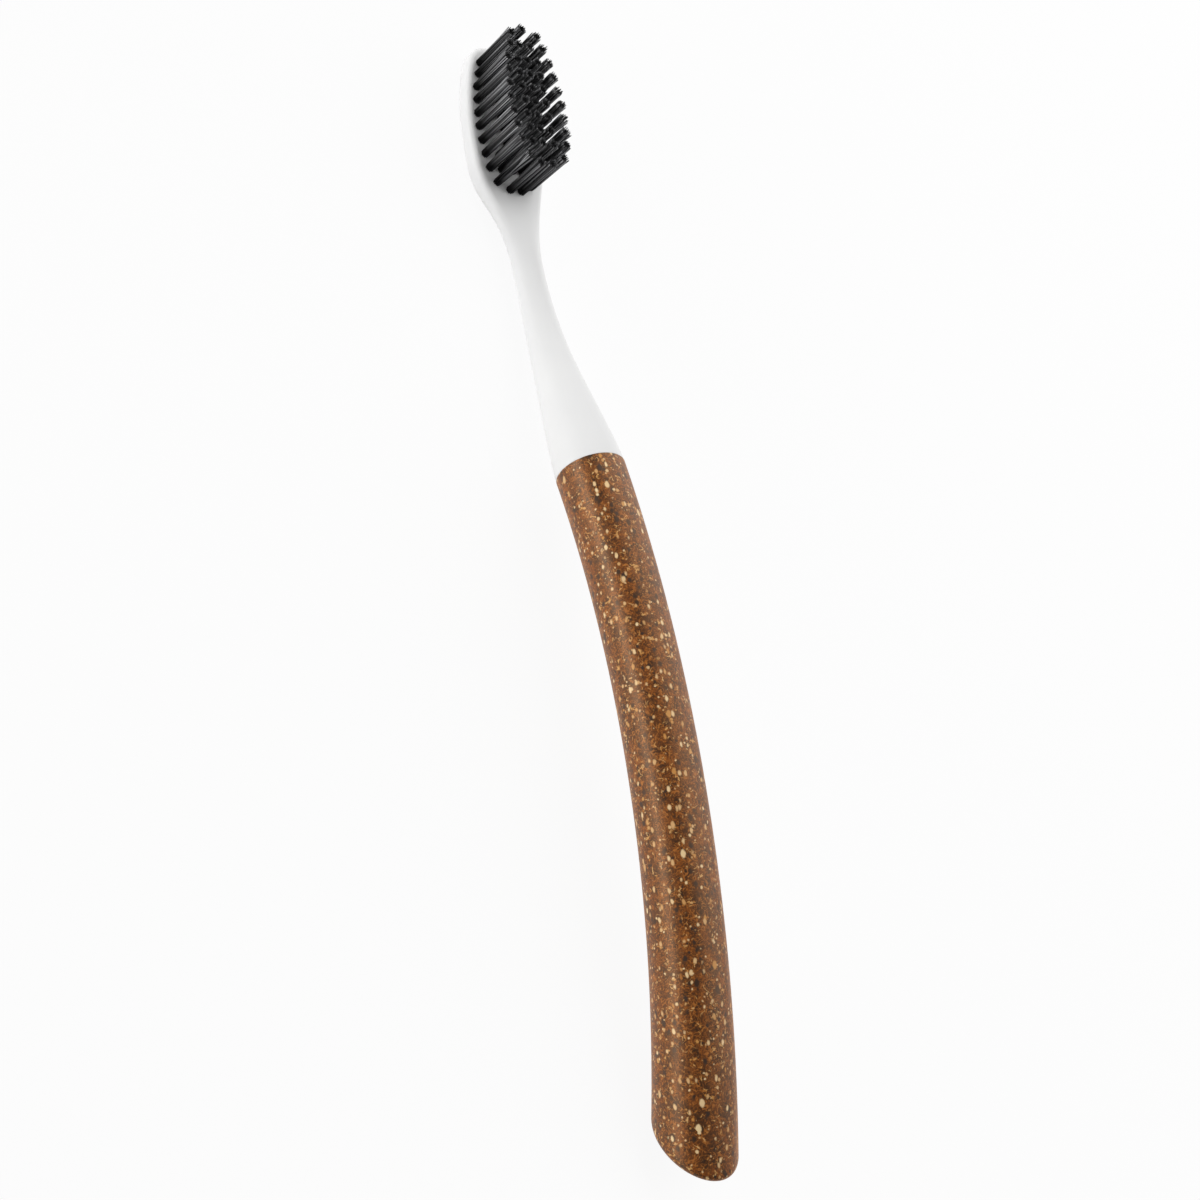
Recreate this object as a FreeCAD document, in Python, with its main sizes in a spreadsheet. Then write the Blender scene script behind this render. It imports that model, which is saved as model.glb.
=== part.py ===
import FreeCAD, Part
import math
import os
import Sketcher
from FreeCAD import Placement, Rotation, Vector

# Manual toothbrush lying on its back, bristles up.
# A slim white head and neck moulding plugs into a bowed round handle of plant-fibre composite.
# Working frame: x runs from the joint between handle and neck toward the head tip, y across,
# z up from the flat back of the head. All lengths are millimetres, all angles degrees.

SIZES = {
    # joint between handle and neck
    "seam_diameter": 11.2,
    "seam_tilt": 12.3,
    "seam_edge_chamfer": 0.2,
    # handle: a rod on a circular arc, narrowest a quarter of the way down, cut off on the slant
    "handle_length": 104.3,
    "handle_bow_radius": 195.7,
    "handle_waist_diameter": 11.0,
    "handle_end_diameter": 12.7,
    "end_slant": 34.0,
    "end_edge_radius": 1.3,
    # plug on the neck and its socket in the handle
    "plug_width": 7.4,
    "plug_height": 6.2,
    "plug_corner_radius": 1.8,
    "plug_length": 16.0,
    "plug_nose_chamfer": 0.8,
    "plug_clearance": 0.06,
    "socket_end_gap": 0.5,
    "socket_mouth_chamfer": 0.4,
    # neck: straight from the seam, then bent level with the head
    "neck_straight": 17.0,
    "neck_bow_radius": 125.0,
    "neck_taper_length": 38.0,
    "neck_flare_length": 18.0,
    "neck_width": 5.4,
    "neck_height": 4.3,
    "neck_lift": 1.35,
    "neck_in_plate": 6.0,
    # head plate: oval outline, flat back and face
    "head_width": 13.4,
    "head_thickness": 3.7,
    "nose_length": 18.2,
    "nose_radius": 4.4,
    "side_length": 6.0,
    "shoulder_radius": 5.0,
    "face_edge_chamfer": 0.7,
    "back_edge_radius": 1.6,
    # tuft field
    "tuft_height": 10.5,
    "inner_tuft_drop": 0.4,
    "tuft_base_diameter": 1.34,
    "tuft_tip_diameter": 1.64,
    "hole_diameter": 1.46,
    "hole_depth": 2.8,
    "hole_floor_gap": 0.02,
    "tip_margin": 3.4,
    "row_pitch": 2.51,
    "field_width": 9.8,
    # anchors
    "anchor_length": 1.9,
    "anchor_height": 1.4,
    "anchor_thickness": 0.25,
    "anchor_depth": 2.35,
    "anchor_turn": 30.0,
    "anchor_clearance": 0.01,
    # how far cutting shapes reach past what they cut, and how finely the handle's extent is read
    "cut_overrun": 20.0,
    "measuring_fineness": 0.02,
}

# Handle sections: how many, where the last one before the slanted end and the waist lie along the
# axis, and the steps in which the slanted end's rim is rounded.
HANDLE_SECTIONS = 11
HANDLE_CUT_SHARE = 0.92
HANDLE_WAIST_SHARE = 0.25
HANDLE_RIM_STEPS = 3

# Neck taper: how many sections, and the powers that draw the width and the height in early.
NECK_TAPER_SECTIONS = 9
NECK_WIDTH_POWER_SHARE = 0.80
NECK_HEIGHT_POWER_SHARE = 0.72

# Neck flare into the plate: place along the flare, width as a blend from the neck to the head,
# height as a blend from the neck to the plate, and what is left of the neck's lift.
NECK_FLARE_SHARES = [
    (0.18, 0.04, 0.0, 0.98),
    (0.33, 0.14, 0.0, 0.90),
    (0.44, 0.25, 0.08, 0.77),
    (0.53, 0.37, 0.2, 0.62),
    (0.62, 0.51, 0.4, 0.45),
    (0.70, 0.63, 0.6, 0.28),
    (0.78, 0.73, 0.9, 0.12),
    (0.86, 0.80, 1.2, 0.0),
    (1.00, 0.80, 2.2, 0.0),
]

# A tuft and its hole have this many flat sides.
TUFT_SIDES = 8

# Tuft rows from tip to neck: outer pair's place across and inner tufts' places across (zero is the
# middle) as shares of half the field width, each with its step along in shares of the row pitch.
TUFT_ROW_SHARES = [
    (0.50, -0.13, (0.0,), 0.36),
    (0.64, 0.0, (-0.21, 0.21), 0.12),
    (0.81, 0.0, (-0.40, 0.0, 0.40), 0.0),
    (0.89, 0.0, (-0.41, 0.0, 0.41), 0.0),
    (0.96, 0.0, (-0.41, 0.0, 0.41), 0.0),
    (1.00, 0.0, (-0.41, 0.0, 0.41), 0.0),
    (0.99, 0.0, (-0.41, 0.0, 0.41), 0.0),
    (0.96, 0.0, (-0.41, 0.0, 0.41), 0.0),
    (0.88, 0.0, (-0.41, 0.0, 0.41), 0.0),
    (0.67, 0.0, (-0.23, 0.23), -0.48),
]

doc = FreeCAD.newDocument("toothbrush")
sheet = doc.addObject("Spreadsheet::Sheet", "Sizes")
for line, (alias, value) in enumerate(SIZES.items(), start=1):
    sheet.set(f"A{line}", alias)
    sheet.set(f"B{line}", str(value))
    sheet.setAlias(f"B{line}", alias)
doc.recompute()


def size(alias):
    """Value of one named size, read from the sheet."""
    return float(sheet.get(alias))


def bind(item, **expressions):
    """Binds properties of an object to expressions in the sheet's names."""
    for name, expression in expressions.items():
        item.setExpression(name, expression)


def origin_plane(body, role):
    """One of a body's own origin planes."""
    return next(plane for plane in body.Origin.OriginFeatures if plane.Role == role)


def sketch_on(body, role, name, place=Placement()):
    """New sketch on an origin plane of its body, moved and turned within that plane's frame."""
    sketch = body.newObject("Sketcher::SketchObject", name)
    sketch.AttachmentSupport = [(origin_plane(body, role), "")]
    sketch.MapMode = "FlatFace"
    sketch.AttachmentOffset = place
    return sketch


def add_feature(body, kind, name, **settings):
    """New feature at the end of a body, with its properties set."""
    feature = body.newObject(f"PartDesign::{kind}", name)
    for key, value in settings.items():
        setattr(feature, key, value)
    return feature


def circle_section(sketch, diameter):
    """Circle about the sketch's origin, its diameter bound to an expression."""
    sketch.addGeometry(Part.Circle(Vector(), Vector(0, 0, 1), 1), False)
    sketch.addConstraint(Sketcher.Constraint("Coincident", 0, 3, -1, 1))
    sketch.addConstraint(Sketcher.Constraint("Diameter", 0, 2))
    sketch.renameConstraint(1, "diameter")
    sketch.setExpression("Constraints.diameter", diameter)


def ellipse_section(sketch, width, height):
    """Ellipse about the sketch's origin, its width and height bound to expressions."""
    half_width = size("neck_width")
    half_height = half_width / 2
    sketch.addGeometry(Part.Ellipse(Vector(), half_width, half_height), False)
    sketch.exposeInternalGeometry(0)
    sketch.addConstraint(Sketcher.Constraint("Coincident", 0, 3, -1, 1))
    sketch.addConstraint(Sketcher.Constraint("Horizontal", 1))
    wide = sketch.addConstraint(Sketcher.Constraint("Distance", 1, 2 * half_width))
    high = sketch.addConstraint(Sketcher.Constraint("Distance", 2, 2 * half_height))
    sketch.renameConstraint(wide, "width")
    sketch.renameConstraint(high, "height")
    sketch.setExpression("Constraints.width", width)
    sketch.setExpression("Constraints.height", height)


def rounded_rectangle(sketch, width, height, radius):
    """Closed outline of four lines and four tangent corner arcs about the sketch's origin."""
    x, y = width / 2, height / 2
    corners = [(x - radius, y - radius, 0), (radius - x, y - radius, 90)]
    corners += [(radius - x, radius - y, 180), (x - radius, radius - y, 270)]
    arcs = []
    for cx, cy, start in corners:
        circle = Part.Circle(Vector(cx, cy), Vector(0, 0, 1), radius)
        arcs.append(Part.ArcOfCircle(circle, math.radians(start), math.radians(start + 90)))
    for arc, after in zip(arcs, arcs[1:] + arcs[:1]):
        sketch.addGeometry([arc, Part.LineSegment(arc.EndPoint, after.StartPoint)], False)


def eased(share):
    """Smooth step from nought to one, level at both ends."""
    return share * share * (3 - 2 * share)


def edges_where(shape, test):
    """Names of the edges of a shape that pass a test."""
    return [f"Edge{index}" for index, edge in enumerate(shape.Edges, start=1) if test(edge)]


def on_plane(point, normal):
    """Test for edges that lie wholly on a plane."""
    near = 1e-4

    def test(edge):
        spots = edge.discretize(5)
        return all(abs((spot - point).dot(normal)) < near for spot in spots)

    return test


# Frame of the seam: its centre above the head's back, its axis falling toward the head.
SEAM_TILT = math.radians(size("seam_tilt"))
NECK_AXIS_HEIGHT = size("head_thickness") / 2 + size("neck_lift")
NECK_BEND_RISE = size("neck_bow_radius") * (1 - math.cos(SEAM_TILT))
SEAM_HEIGHT = NECK_AXIS_HEIGHT + NECK_BEND_RISE + size("neck_straight") * math.sin(SEAM_TILT)
SEAM = Placement(Vector(0, 0, SEAM_HEIGHT), Rotation(Vector(0, 1, 0), size("seam_tilt")))

# Station of the plate's widest place: the neck's flare ends inside the plate, past its shoulders.
PLATE_START = size("neck_taper_length") + size("neck_flare_length") - size("neck_in_plate")
HEAD_STATION = PLATE_START + size("shoulder_radius") + size("side_length")


def neck_place(station, lift_share):
    """Place on the neck's axis for a section sketch, a station's length on from the seam."""
    straight, radius = size("neck_straight"), size("neck_bow_radius")
    turn = min(max((station - straight) / radius, 0), SEAM_TILT)
    tilt = SEAM_TILT - turn
    before = min(station, straight)
    after = max(station - straight - radius * SEAM_TILT, 0)
    along = before * math.cos(SEAM_TILT) + radius * (math.sin(SEAM_TILT) - math.sin(tilt)) + after
    drop = before * math.sin(SEAM_TILT) + radius * (math.cos(tilt) - math.cos(SEAM_TILT))
    height = SEAM_HEIGHT - drop - size("neck_lift") * (1 - lift_share)
    return Placement(Vector(0, height, along), Rotation(Vector(1, 0, 0), math.degrees(tilt)))


def make_handle():
    """Bowed rod with a slanted end and the socket for the plug, in the frame of the seam."""
    body = doc.addObject("PartDesign::Body", "handle")
    bow, length = size("handle_bow_radius"), size("handle_length")

    # every section starts from the same side of the rod, so that the loft doesn't twist
    quarter = Placement(Vector(), Rotation(Vector(0, 0, 1), 90))
    top = sketch_on(body, "YZ_Plane", "handle_top", quarter)
    circle_section(top, "Sizes.seam_diameter")
    sections = []
    for number in range(1, HANDLE_SECTIONS + 1):
        place_share = HANDLE_CUT_SHARE * number / HANDLE_SECTIONS
        turn = place_share * length / bow
        spot = Vector(0, -bow * (1 - math.cos(turn)), -bow * math.sin(turn))
        place = Placement(spot, Rotation(Vector(1, 0, 0), -math.degrees(turn))).multiply(quarter)
        section = sketch_on(body, "YZ_Plane", f"handle_section_{number}", place)
        top_share = max(1 - place_share / HANDLE_WAIST_SHARE, 0) ** 2
        end_share = max((place_share - HANDLE_WAIST_SHARE) / (1 - HANDLE_WAIST_SHARE), 0) ** 2
        from_top = f"(Sizes.seam_diameter - Sizes.handle_waist_diameter) * {top_share}"
        to_end = f"(Sizes.handle_end_diameter - Sizes.handle_waist_diameter) * {end_share}"
        circle_section(section, f"Sizes.handle_waist_diameter + {from_top} + {to_end}")
        sections.append(section)

    # the slant leaves the bristle side of the handle longer than its back, and the ellipses of the
    # slanted end draw in toward its flat face to round its rim
    turn, slant = length / bow, math.radians(size("end_slant"))
    tail = Vector(0, -bow * (1 - math.cos(turn)), -bow * math.sin(turn))
    outward = Vector(0, -math.sin(turn), -math.cos(turn))
    tilt = Rotation(Vector(1, 0, 0), -math.degrees(turn + slant))
    for number in range(HANDLE_RIM_STEPS + 1):
        step = math.radians(90 * number / HANDLE_RIM_STEPS)
        depth = size("end_edge_radius") * (1 - math.sin(step))
        place = Placement(tail - outward * (depth / math.cos(slant)), tilt).multiply(quarter)
        section = sketch_on(body, "YZ_Plane", f"handle_slant_{number}", place)
        inset = f"2 * Sizes.end_edge_radius * {1 - math.cos(step)}"
        long_way = f"Sizes.handle_end_diameter / cos(Sizes.end_slant) - {inset}"
        ellipse_section(section, long_way, f"Sizes.handle_end_diameter - {inset}")
        sections.append(section)
    doc.recompute()
    # straight from section to section, which keeps the facets few
    add_feature(body, "AdditiveLoft", "handle_rod", Profile=top, Sections=sections, Ruled=True)

    mouth = sketch_on(body, "YZ_Plane", "socket_outline")
    gap = size("plug_clearance")
    rounded_rectangle(
        mouth,
        size("plug_width") + 2 * gap,
        size("plug_height") + 2 * gap,
        size("plug_corner_radius") + gap,
    )
    socket = add_feature(body, "Pocket", "socket", Profile=mouth, Type="Length")
    bind(socket, Length="Sizes.plug_length + Sizes.socket_end_gap")
    doc.recompute()

    at_seam = on_plane(Vector(), Vector(1, 0, 0))
    reach = math.hypot(size("plug_width"), size("plug_height")) / 2
    rim = edges_where(socket.Shape, lambda edge: at_seam(edge) and edge.Vertexes[0].Point.Length > reach)
    rim_break = add_feature(body, "Chamfer", "seam_rim_break", Base=(socket, rim))
    bind(rim_break, Size="Sizes.seam_edge_chamfer")
    doc.recompute()

    broken = rim_break.Shape
    inner = edges_where(broken, lambda edge: at_seam(edge) and edge.Vertexes[0].Point.Length < reach)
    lead_in = add_feature(body, "Chamfer", "socket_lead_in", Base=(rim_break, inner))
    bind(lead_in, Size="Sizes.socket_mouth_chamfer")
    doc.recompute()

    body.Placement = SEAM
    return body


def plate_outline(sketch):
    """Outline of the head plate: oval nose of three arcs, straight sides, round neck shoulders."""
    widest, half = HEAD_STATION, size("head_width") / 2
    length, tip = size("nose_length"), size("nose_radius")
    shoulder = size("shoulder_radius")
    side_end = PLATE_START + shoulder

    # the long nose arcs leave the straight sides and meet the tip's arc smoothly
    flank = ((length - tip) ** 2 + half**2 - tip**2) / (2 * (half - tip))
    turn = math.atan2(length - tip, flank - half)
    up = math.pi / 2
    tip_circle = Part.Circle(Vector(widest + length - tip, 0), Vector(0, 0, 1), tip)
    sketch.addGeometry(Part.ArcOfCircle(tip_circle, turn - up, up - turn), False)
    for side, start in ((1, up - turn), (-1, -up)):
        circle = Part.Circle(Vector(widest, side * (half - flank)), Vector(0, 0, 1), flank)
        sketch.addGeometry(Part.ArcOfCircle(circle, start, start + turn), False)
    for side, start in ((1, up), (-1, math.pi)):
        corner = Part.Circle(Vector(side_end, side * (half - shoulder)), Vector(0, 0, 1), shoulder)
        along = Part.LineSegment(Vector(widest, side * half), Vector(side_end, side * half))
        sketch.addGeometry([along, Part.ArcOfCircle(corner, start, start + up)], False)
    across = Part.LineSegment(Vector(PLATE_START, half - shoulder), Vector(PLATE_START, shoulder - half))
    sketch.addGeometry(across, False)


def make_head_body():
    """Head plate, neck and plug as one moulding, before the tuft holes are made."""
    body = doc.addObject("PartDesign::Body", "head_moulding")

    outline = sketch_on(body, "XY_Plane", "plate_outline")
    plate_outline(outline)
    plate = add_feature(body, "Pad", "plate", Profile=outline)
    bind(plate, Length="Sizes.head_thickness")
    doc.recompute()

    back_rim = edges_where(plate.Shape, on_plane(Vector(), Vector(0, 0, 1)))
    back_round = add_feature(body, "Fillet", "plate_back_round", Base=(plate, back_rim))
    bind(back_round, Radius="Sizes.back_edge_radius")
    doc.recompute()

    face_spot = Vector(0, 0, size("head_thickness"))
    face_rim = edges_where(back_round.Shape, on_plane(face_spot, Vector(0, 0, 1)))
    face_break = add_feature(body, "Chamfer", "plate_face_break", Base=(back_round, face_rim))
    bind(face_break, Size="Sizes.face_edge_chamfer")
    doc.recompute()

    seam = sketch_on(body, "YZ_Plane", "neck_seam", neck_place(0, 1))
    circle_section(seam, "Sizes.seam_diameter")
    sections = []
    for number in range(1, NECK_TAPER_SECTIONS + 1):
        place_share = number / NECK_TAPER_SECTIONS
        width_share = 1 - eased(place_share**NECK_WIDTH_POWER_SHARE)
        height_share = 1 - eased(place_share**NECK_HEIGHT_POWER_SHARE)
        place = neck_place(place_share * size("neck_taper_length"), 1)
        section = sketch_on(body, "YZ_Plane", f"neck_taper_{number}", place)
        width = f"Sizes.neck_width + (Sizes.seam_diameter - Sizes.neck_width) * {width_share}"
        height = f"Sizes.neck_height + (Sizes.seam_diameter - Sizes.neck_height) * {height_share}"
        ellipse_section(section, width, height)
        sections.append(section)
    for place_share, width_share, height_share, lift_share in NECK_FLARE_SHARES:
        station = size("neck_taper_length") + place_share * size("neck_flare_length")
        place = neck_place(station, lift_share)
        section = sketch_on(body, "YZ_Plane", f"neck_flare_{len(sections) + 1}", place)
        width = f"Sizes.neck_width + (Sizes.head_width - Sizes.neck_width) * {width_share}"
        height = f"Sizes.neck_height + (Sizes.head_thickness - Sizes.neck_height) * {height_share}"
        ellipse_section(section, width, height)
        sections.append(section)
    doc.recompute()
    add_feature(body, "AdditiveLoft", "neck", Profile=seam, Sections=sections, Ruled=True)
    doc.recompute()

    plug_outline = sketch_on(body, "YZ_Plane", "plug_outline", neck_place(0, 1))
    rounded_rectangle(
        plug_outline, size("plug_width"), size("plug_height"), size("plug_corner_radius")
    )
    plug = add_feature(body, "Pad", "plug", Profile=plug_outline, Reversed=True)
    bind(plug, Length="Sizes.plug_length")
    doc.recompute()

    into_handle = SEAM.Rotation.multVec(Vector(-1, 0, 0))
    nose_spot = SEAM.Base + into_handle * size("plug_length")
    nose_rim = edges_where(plug.Shape, on_plane(nose_spot, into_handle))
    nose = add_feature(body, "Chamfer", "plug_nose", Base=(plug, nose_rim))
    bind(nose, Size="Sizes.plug_nose_chamfer")
    doc.recompute()
    return body


def tuft_places():
    """Row, place in the row, position and inner or outer for every tuft, tip to neck."""
    first = HEAD_STATION + size("nose_length") - size("tip_margin")
    half = size("field_width") / 2
    places = []
    for row, (outer_share, outer_step_share, inner_shares, step_share) in enumerate(TUFT_ROW_SHARES):
        station = first - row * size("row_pitch")
        across = [(share, outer_step_share, False) for share in (-outer_share, outer_share)]
        across += [(share, step_share, True) for share in inner_shares]
        for place, (share, step, inner) in enumerate(sorted(across), start=1):
            spot = Vector(station + step * size("row_pitch"), share * half)
            places.append((row + 1, place, spot, inner))
    return places


def centred_box(name, place, length, width, height):
    """Box standing on the middle of its base, sized by expressions."""
    box = doc.addObject("Part::Box", name)
    bind(box, Length=length, Width=width, Height=height)
    doc.recompute([box])
    shift = Placement(Vector(-box.Length.Value / 2, -box.Width.Value / 2), Rotation())
    box.Placement = place.multiply(shift)
    return box


def anchor_place(spot):
    """Foot of the anchor in a tuft hole."""
    foot = Vector(spot.x, spot.y, size("head_thickness") - size("anchor_depth"))
    return Placement(foot, Rotation(Vector(0, 0, 1), size("anchor_turn")))


def tuft_turn():
    """Turn about the hole's axis that lays a flat side of a tuft against each end of its anchor."""
    return Rotation(Vector(0, 0, 1), size("anchor_turn") + 180 / TUFT_SIDES)


def make_tuft(row, place, spot, inner):
    """One flared tuft with flat sides, with a window where its anchor crosses it."""
    name = f"tuft_row_{row:02d}_{place}"
    trim = size("inner_tuft_drop") if inner else 0
    floor = size("head_thickness") - size("hole_depth") + size("hole_floor_gap")
    top = size("head_thickness") + size("tuft_height") - trim
    ends = []
    for end, height, diameter in (("base", floor, "tuft_base_diameter"), ("tip", top, "tuft_tip_diameter")):
        outline = doc.addObject("Part::RegularPolygon", f"{name}_{end}")
        outline.Polygon = TUFT_SIDES
        bind(outline, Circumradius=f"Sizes.{diameter} / 2")
        outline.Placement = Placement(Vector(spot.x, spot.y, height), tuft_turn())
        ends.append(outline)
    rod = doc.addObject("Part::Loft", f"{name}_rod")
    rod.Sections = ends
    rod.Solid = True
    rod.Ruled = True
    slot = centred_box(
        f"{name}_slot",
        anchor_place(spot),
        "Sizes.anchor_length + 2 * Sizes.anchor_clearance",
        "Sizes.anchor_thickness + 2 * Sizes.anchor_clearance",
        "Sizes.anchor_height + Sizes.anchor_clearance",
    )
    tuft = doc.addObject("Part::Cut", name)
    tuft.Base = rod
    tuft.Tool = slot
    return tuft


def make_anchor(number, spot):
    """One flat metal anchor strip on edge across its tuft."""
    return centred_box(
        f"anchor_{number}",
        anchor_place(spot),
        "Sizes.anchor_length",
        "Sizes.anchor_thickness",
        "Sizes.anchor_height",
    )


def make_hole_cutters(number, spot):
    """Blind hole for a tuft, and the slit that its anchor is pressed down."""
    hole = doc.addObject("Part::Prism", f"hole_{number}")
    hole.Polygon = TUFT_SIDES
    bind(hole, Circumradius="Sizes.hole_diameter / 2", Height="Sizes.hole_depth + Sizes.cut_overrun")
    floor = size("head_thickness") - size("hole_depth")
    hole.Placement = Placement(Vector(spot.x, spot.y, floor), tuft_turn())
    slit = centred_box(
        f"slit_{number}",
        anchor_place(spot),
        "Sizes.anchor_length + 2 * Sizes.anchor_clearance",
        "Sizes.anchor_thickness + 2 * Sizes.anchor_clearance",
        "Sizes.anchor_depth + Sizes.cut_overrun",
    )
    return [hole, slit]


handle = make_handle()
head_body = make_head_body()
places = tuft_places()

cutters = doc.addObject("Part::Compound", "hole_cutters")
cutters.Links = [tool for n, spot in enumerate(places, 1) for tool in make_hole_cutters(n, spot[2])]
brush_head = doc.addObject("Part::Cut", "brush_head")
brush_head.Base = head_body
brush_head.Tool = cutters

anchors = doc.addObject("Part::Compound", "tuft_anchors")
anchors.Links = [make_anchor(n, spot[2]) for n, spot in enumerate(places, 1)]
tufts = [make_tuft(*place) for place in places]
doc.recompute()

# The part's own origin is the middle of the ground that it covers: the head's flat back lies on
# the ground, and the slanted end of the handle just touches it.
sub_parts = [handle, brush_head, anchors] + tufts
handle_points, _ = handle.Shape.tessellate(size("measuring_fineness"))
tail = min(point.x for point in handle_points)
tip = HEAD_STATION + size("nose_length")
ground = min(0, min(point.z for point in handle_points))
to_origin = Placement(Vector(-(tail + tip) / 2, 0, -ground), Rotation())
for item in sub_parts:
    item.Label = item.Name
    item.Placement = to_origin.multiply(item.Placement)
doc.recompute()

failed = [item.Name for item in doc.Objects if {"Invalid", "Error"} & set(item.State)]
failed += [item.Name for item in sub_parts if item.Shape.isNull() or not item.Shape.isValid()]
if failed:
    raise RuntimeError("not built: " + ", ".join(failed))

os.makedirs("parts", exist_ok=True)
for item in sub_parts:
    item.Shape.exportStep(f"parts/{item.Label}.step")

seam_spot = to_origin.multVec(SEAM.Base)
seam_axis = SEAM.Rotation.multVec(Vector(1, 0, 0))
print("seam centre", [round(value, 3) for value in seam_spot])
print("seam axis", [round(value, 5) for value in seam_axis])
print("handle lies", round(min(point.z for point in handle_points), 3), "above the head's back")
for item in (handle, brush_head):
    print(item.Label, "solids", len(item.Shape.Solids), "volume", round(item.Shape.Volume, 1))
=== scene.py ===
import math

import bpy
import numpy as np
from mathutils import Matrix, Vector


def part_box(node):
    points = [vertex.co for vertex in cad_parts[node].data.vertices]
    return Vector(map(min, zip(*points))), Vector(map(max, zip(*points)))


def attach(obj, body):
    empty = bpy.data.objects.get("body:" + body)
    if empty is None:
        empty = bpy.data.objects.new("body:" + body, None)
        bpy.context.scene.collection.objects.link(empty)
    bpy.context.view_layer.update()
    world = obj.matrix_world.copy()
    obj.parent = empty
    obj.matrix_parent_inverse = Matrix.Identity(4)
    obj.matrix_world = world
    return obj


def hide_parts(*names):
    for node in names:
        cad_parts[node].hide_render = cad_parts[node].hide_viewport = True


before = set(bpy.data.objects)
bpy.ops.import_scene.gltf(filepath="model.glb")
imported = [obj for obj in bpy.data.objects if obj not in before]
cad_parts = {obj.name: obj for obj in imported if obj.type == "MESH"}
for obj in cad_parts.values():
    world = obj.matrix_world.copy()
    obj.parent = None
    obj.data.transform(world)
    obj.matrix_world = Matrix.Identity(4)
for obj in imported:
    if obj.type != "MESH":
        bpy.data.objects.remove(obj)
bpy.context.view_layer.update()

# Manual toothbrush lying on its back: a bowed handle of wood-fibre composite and a white plastic
# head with black nylon tufts. Lengths are in millimetres and go into the meshes in metres.
MM = 0.001
TINY = 1e-9

# Seam between handle and neck: its centre, how far its axis falls toward the head, its radius.
SEAM_CENTRE = np.array([14.537, 0.0, 9.691])
SEAM_TILT = math.radians(12.3)
SEAM_RADIUS = 5.6

# Handle: a rod on an arc, thinnest at its waist and cut on the slant at its end.
HANDLE_LENGTH = 104.3
HANDLE_BOW = 195.7
HANDLE_WAIST_RADIUS = 5.5
HANDLE_END_RADIUS = 6.35
WAIST_SHARE = 0.25
SLANT_START_SHARE = 0.70
END_SLANT = math.radians(34.0)
END_ROUND = 1.3
END_SETBACK = END_ROUND / math.cos(END_SLANT)
RIM_ROUND = 0.06

# Plug on the head and socket in the handle: half width, half height and corner radius.
PLUG = np.array([3.70, 3.10, 1.8])
PLUG_LENGTH = 16.0
PLUG_BEVEL = 0.8
SOCKET = PLUG + 0.06
SOCKET_LENGTH = PLUG_LENGTH + 0.5
MOUTH_BEVEL = 0.4
SHOULDER_RADIUS = SEAM_RADIUS - 0.03
NECK_END_RADIUS = SEAM_RADIUS - 0.01
NECK_END_STEP = 0.005

# Neck: straight on from the seam, then bent level on an arc, thinning to its slimmest place.
NECK_STRAIGHT = 17.0
NECK_BOW = 125.0
NECK_TAPER = 38.0
NECK_HALF_WIDTH = 2.7
NECK_HALF_HEIGHT = 2.15
NECK_LIFT = 1.35
NECK_WIDTH_POWER = 0.80
NECK_HEIGHT_POWER = 0.72
LEVEL_STATION = 40.0
LEVEL_LENGTH = 12.0

# Flare of the neck into the plate, counted from the slimmest place: how long each change takes.
FLARE_WIDTH_LENGTH = 19.2
FLARE_WIDTH_POWER = 1.25
FLARE_LIFT_LENGTH = 15.5
FLARE_LIFT_POWER = 1.8
FLARE_HEIGHT_LENGTH = 16.0
FLAT_START = 4.0
FLAT_LENGTH = 14.0

# Head plate: straight sides to its widest station, then two flank arcs and the tip's arc.
HEAD_STATION = 61.0
HEAD_HALF_WIDTH = 6.7
HEAD_THICKNESS = 3.7
NOSE_LENGTH = 18.2
NOSE_RADIUS = 4.4
FACE_ROUND = 0.95
BACK_ROUND = 1.6
PLATE_START = HEAD_STATION - 2.0
TIP_REACH = NOSE_LENGTH - NOSE_RADIUS
FLANK_RADIUS = (TIP_REACH**2 + HEAD_HALF_WIDTH**2 - NOSE_RADIUS**2) / (2 * (HEAD_HALF_WIDTH - NOSE_RADIUS))
TIP_ARC_START = TIP_REACH * (1 + NOSE_RADIUS / (FLANK_RADIUS - NOSE_RADIUS))
FACE_COLUMNS = 26
WALL_COLUMNS = 5

# Tufts: strands set by the golden angle, sunk in the plate, straying a little at their tips. They are
# drawn fewer and a little coarser than real ones, so that each strand shows.
FILAMENTS = 42
FILAMENT_RADIUS = 0.098
FILAMENT_SIDES = 5
FILAMENT_BOW = 0.03
FILAMENT_DOME = 0.02
TUFT_BASE_RADIUS = 0.76
TUFT_TIP_RADIUS = 0.93
TUFT_SINK = 0.6
GOLDEN_ANGLE = 2.39996
LEAN_POWER = 1.6
TIP_SPREAD = 0.06
TRIM_SPREAD = 0.08
MIDDLE_TRIM = 0.2

# How far the strands stray at their tips: in most tufts, in the edge column past a place across, and in
# the tufts whose strands stand further apart.
SPLAY = 0.045
EDGE_SPLAY = 0.07
EDGE_COLUMN_Y = -2.6
WORN_TUFTS = {"tuft_row_10_4": 0.30, "tuft_row_10_1": 0.14, "tuft_row_09_5": 0.12}

# Camera in the photograph's place: where it stands, and its back and up directions.
CAMERA_PLACE = np.array([-97.537, 198.421, 266.486])
CAMERA_BACK = np.array([-0.2715, 0.58326, 0.76557])
CAMERA_UP = np.array([0.94612, 0.01589, 0.32342])
SENSOR_WIDTH = 36.0
LENS = 66.0


def eased(share):
    """Smooth step: 3 s^2 - 2 s^3, held at nought and one outside."""
    share = np.clip(share, 0, 1)
    return share * share * (3 - 2 * share)


def unit_ring(angles):
    """Points of the unit circle, counted from straight up: (sin a, cos a)."""
    return np.stack([np.sin(angles), np.cos(angles)], -1)


def add_object(name, data):
    """New object at the origin, linked into the scene."""
    thing = bpy.data.objects.new(name, data)
    bpy.context.scene.collection.objects.link(thing)
    return thing


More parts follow.
